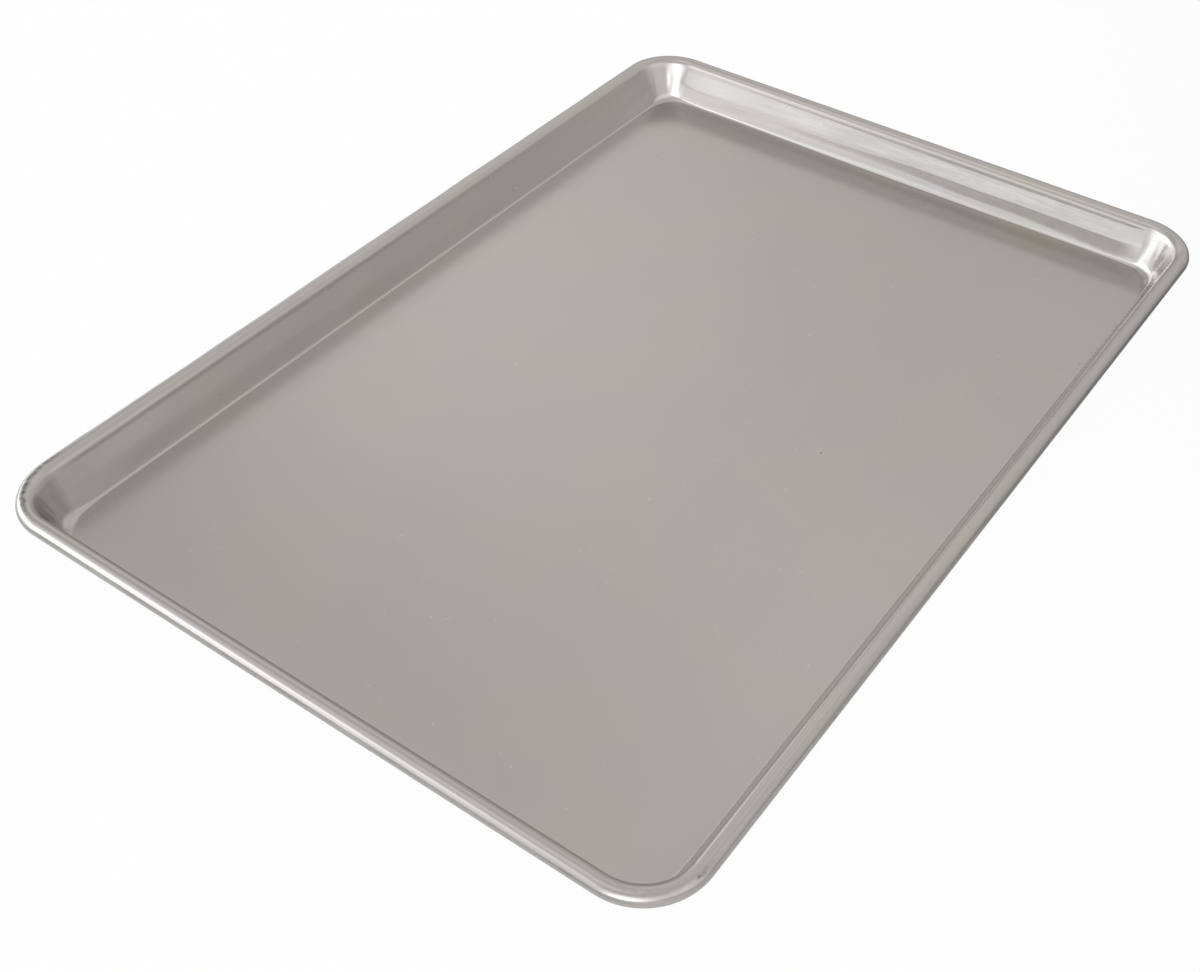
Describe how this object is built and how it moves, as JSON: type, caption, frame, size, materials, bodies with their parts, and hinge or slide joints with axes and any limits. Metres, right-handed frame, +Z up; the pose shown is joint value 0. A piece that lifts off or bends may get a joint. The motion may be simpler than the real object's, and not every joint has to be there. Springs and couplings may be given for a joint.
{
  "type": "jelly roll pan",
  "caption": "Shallow rectangular baking pan with leaning walls, rounded corners and a rim curled round a wire, for thin cakes and oven baking.",
  "frame": {"origin": "under the middle of the floor, on the surface that the pan stands on", "axes": "+X along the pan's length, +Y across its width, +Z up out of the pan"},
  "size_m": [0.41, 0.288, 0.0195],
  "materials": {
    "aluminium_sheet": "satin, uncoated, with fine handling marks",
    "rim_steel": "galvanised steel wire, dull grey"
  },
  "bodies": {
    "root": {"pan_body": "aluminium_sheet", "rim_wire": "rim_steel"}
  },
  "joints": []
}
